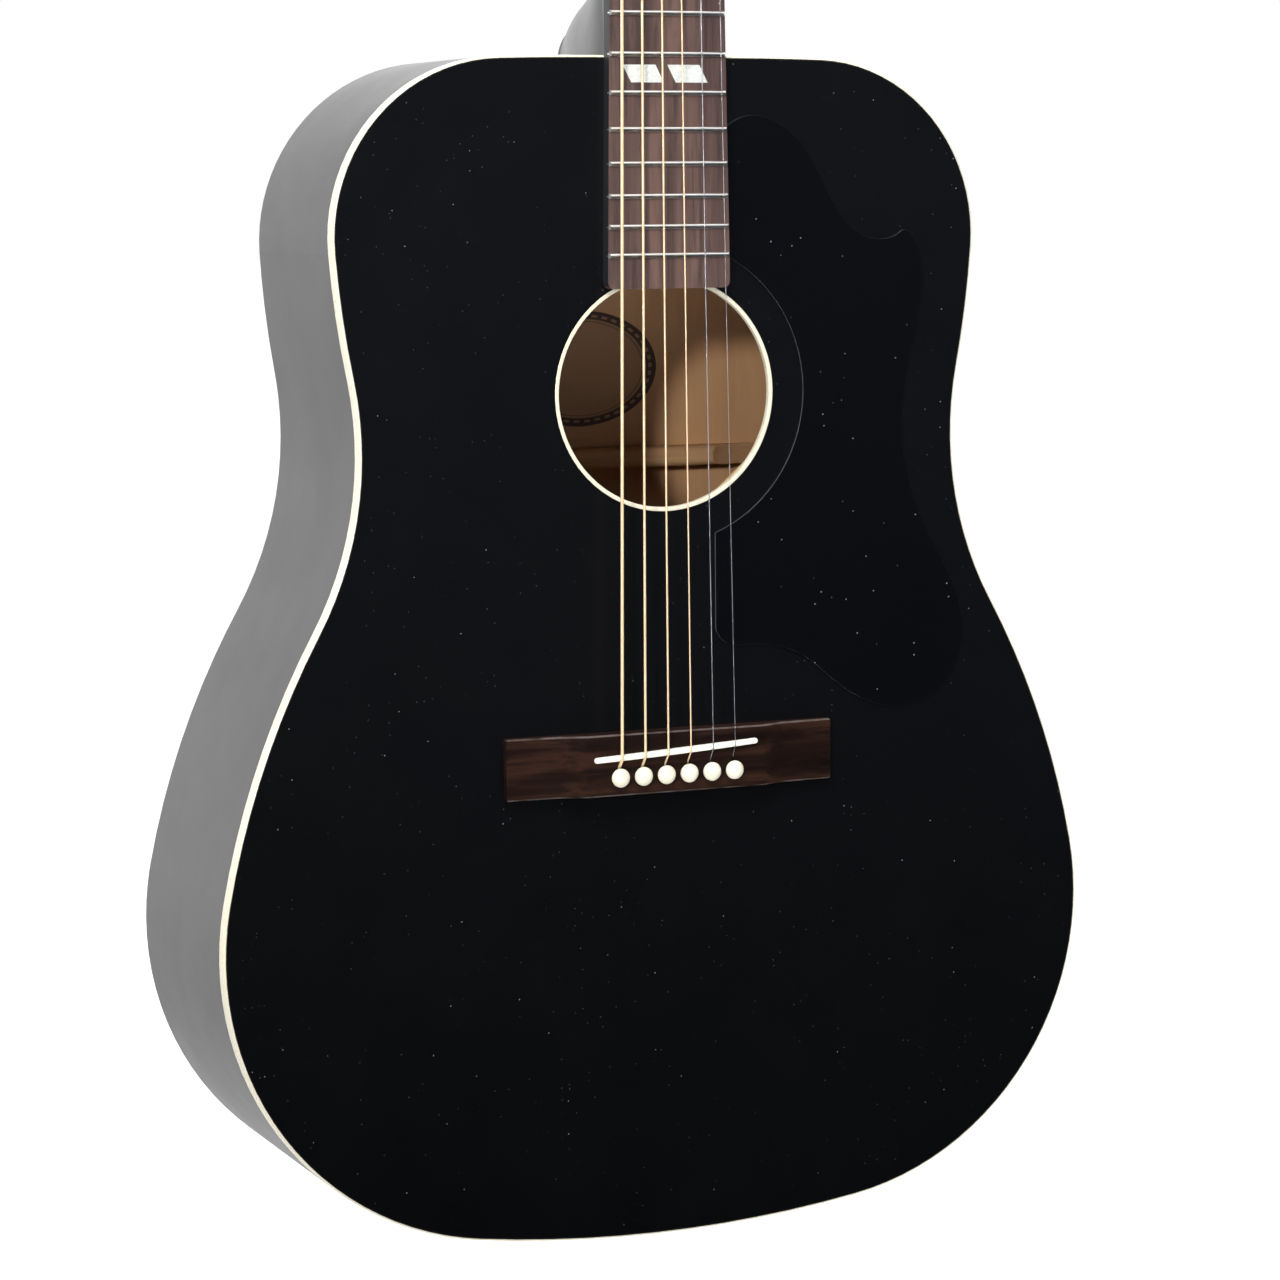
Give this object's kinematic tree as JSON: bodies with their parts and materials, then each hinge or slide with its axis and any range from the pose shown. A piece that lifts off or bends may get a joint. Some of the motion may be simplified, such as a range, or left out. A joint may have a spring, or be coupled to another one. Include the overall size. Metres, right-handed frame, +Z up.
{
  "type": "acoustic guitar",
  "caption": "Full-size flat-top steel-string acoustic guitar with a square-shouldered black body, cream side binding, pickguard, pinned bridge and open-gear tuners.",
  "frame": {"origin": "centre of the strap pin's seat on the tail end of the body", "axes": "+Z up along the neck, -Y the way the soundboard faces, +X the treble side"},
  "size_m": [0.399, 0.1388, 1.0448],
  "materials": {
    "black_top": "black satin lacquer with fine pale specks",
    "black_body": "black satin lacquer",
    "cream_binding": "cream celluloid, polished",
    "black_gloss": "black sheet, polished",
    "label_paper": "aged paper with a plain roped border",
    "mahogany": "bare sanded wood",
    "spruce": "bare sanded wood",
    "maple": "bare sanded wood",
    "rosewood": "oiled open-grain rosewood",
    "bone": "polished bone",
    "steel": "plain steel tube",
    "nickel_silver": "polished fret wire",
    "pearl": "white pearloid",
    "nickel_plate": "nickel plate",
    "cream_pin": "aged cream plastic",
    "cream_button": "aged cream plastic",
    "bronze_wire": "bronze wound wire",
    "steel_wire": "plain steel wire"
  },
  "bodies": {
    "guitar": {"soundboard": "black_top", "back": "black_body", "sides": "black_body", "top_binding": "cream_binding", "soundhole_ring": "cream_binding", "pickguard": "black_gloss", "label": "label_paper", "linings": "mahogany", "neck_block": "mahogany", "tail_block": "mahogany", "top_braces": "spruce", "back_braces": "mahogany", "back_centre_strip": "spruce", "bridge_plate": "maple", "bridge": "rosewood", "saddle": "bone", "neck": "black_body", "neck_bar": "steel", "headstock_veneer": "black_body", "heel_cap": "black_body", "fingerboard": "rosewood", "frets": "nickel_silver", "fret_markers": "pearl", "nut": "bone", "tuner_plates": "nickel_plate", "tuner_ferrules": "nickel_plate", "tuner_screws": "nickel_plate", "end_pin": "cream_pin", "string_low_e": "bronze_wire", "string_a": "bronze_wire", "string_d": "bronze_wire", "string_g": "bronze_wire", "string_b": "steel_wire", "string_high_e": "steel_wire"},
    "key_low_e": {"tuner_button_low_e": "cream_button", "tuner_worm_low_e": "nickel_plate"},
    "spindle_low_e": {"tuner_post_low_e": "nickel_plate"},
    "pin_low_e": {"bridge_pin_low_e": "cream_pin"},
    "key_a": {"tuner_button_a": "cream_button", "tuner_worm_a": "nickel_plate"},
    "spindle_a": {"tuner_post_a": "nickel_plate"},
    "pin_a": {"bridge_pin_a": "cream_pin"},
    "key_d": {"tuner_button_d": "cream_button", "tuner_worm_d": "nickel_plate"},
    "spindle_d": {"tuner_post_d": "nickel_plate"},
    "pin_d": {"bridge_pin_d": "cream_pin"},
    "key_g": {"tuner_button_g": "cream_button", "tuner_worm_g": "nickel_plate"},
    "spindle_g": {"tuner_post_g": "nickel_plate"},
    "pin_g": {"bridge_pin_g": "cream_pin"},
    "key_b": {"tuner_button_b": "cream_button", "tuner_worm_b": "nickel_plate"},
    "spindle_b": {"tuner_post_b": "nickel_plate"},
    "pin_b": {"bridge_pin_b": "cream_pin"},
    "key_high_e": {"tuner_button_high_e": "cream_button", "tuner_worm_high_e": "nickel_plate"},
    "spindle_high_e": {"tuner_post_high_e": "nickel_plate"},
    "pin_high_e": {"bridge_pin_high_e": "cream_pin"}
  },
  "joints": [
    {"name": "turn_key_low_e", "type": "hinge", "parent": "guitar", "child": "key_low_e", "pos_m": [-0.023, -0.03127, 0.91182], "axis": [1, 0, 0], "continuous": true},
    {"name": "wind_post_low_e", "type": "hinge", "parent": "guitar", "child": "spindle_low_e", "pos_m": [-0.023, -0.05281, 0.90853], "axis": [0, -0.9703, 0.2419], "continuous": true},
    {"name": "pull_pin_low_e", "type": "slide", "parent": "guitar", "child": "pin_low_e", "axis": [0, -1, 0], "range_m": [0, 0.028]},
    {"name": "turn_key_a", "type": "hinge", "parent": "guitar", "child": "key_a", "pos_m": [-0.023, -0.02087, 0.95354], "axis": [1, 0, 0], "continuous": true},
    {"name": "wind_post_a", "type": "hinge", "parent": "guitar", "child": "spindle_a", "pos_m": [-0.023, -0.0424, 0.95025], "axis": [0, -0.9703, 0.2419], "continuous": true},
    {"name": "pull_pin_a", "type": "slide", "parent": "guitar", "child": "pin_a", "axis": [0, -1, 0], "range_m": [0, 0.028]},
    {"name": "turn_key_d", "type": "hinge", "parent": "guitar", "child": "key_d", "pos_m": [-0.023, -0.01047, 0.99526], "axis": [1, 0, 0], "continuous": true},
    {"name": "wind_post_d", "type": "hinge", "parent": "guitar", "child": "spindle_d", "pos_m": [-0.023, -0.032, 0.99198], "axis": [0, -0.9703, 0.2419], "continuous": true},
    {"name": "pull_pin_d", "type": "slide", "parent": "guitar", "child": "pin_d", "axis": [0, -1, 0], "range_m": [0, 0.028]},
    {"name": "turn_key_g", "type": "hinge", "parent": "guitar", "child": "key_g", "pos_m": [0.023, -0.01047, 0.99526], "axis": [1, 0, 0], "continuous": true},
    {"name": "wind_post_g", "type": "hinge", "parent": "guitar", "child": "spindle_g", "pos_m": [0.023, -0.032, 0.99198], "axis": [0, -0.9703, 0.2419], "continuous": true},
    {"name": "pull_pin_g", "type": "slide", "parent": "guitar", "child": "pin_g", "axis": [0, -1, 0], "range_m": [0, 0.028]},
    {"name": "turn_key_b", "type": "hinge", "parent": "guitar", "child": "key_b", "pos_m": [0.023, -0.02087, 0.95354], "axis": [1, 0, 0], "continuous": true},
    {"name": "wind_post_b", "type": "hinge", "parent": "guitar", "child": "spindle_b", "pos_m": [0.023, -0.0424, 0.95025], "axis": [0, -0.9703, 0.2419], "continuous": true},
    {"name": "pull_pin_b", "type": "slide", "parent": "guitar", "child": "pin_b", "axis": [0, -1, 0], "range_m": [0, 0.028]},
    {"name": "turn_key_high_e", "type": "hinge", "parent": "guitar", "child": "key_high_e", "pos_m": [0.023, -0.03127, 0.91182], "axis": [1, 0, 0], "continuous": true},
    {"name": "wind_post_high_e", "type": "hinge", "parent": "guitar", "child": "spindle_high_e", "pos_m": [0.023, -0.05281, 0.90853], "axis": [0, -0.9703, 0.2419], "continuous": true},
    {"name": "pull_pin_high_e", "type": "slide", "parent": "guitar", "child": "pin_high_e", "axis": [0, -1, 0], "range_m": [0, 0.028]}
  ],
  "couplings": [
    {"joint": "wind_post_low_e", "follows": "turn_key_low_e", "ratio": -0.071429},
    {"joint": "wind_post_a", "follows": "turn_key_a", "ratio": -0.071429},
    {"joint": "wind_post_d", "follows": "turn_key_d", "ratio": -0.071429},
    {"joint": "wind_post_g", "follows": "turn_key_g", "ratio": 0.071429},
    {"joint": "wind_post_b", "follows": "turn_key_b", "ratio": 0.071429},
    {"joint": "wind_post_high_e", "follows": "turn_key_high_e", "ratio": 0.071429}
  ]
}
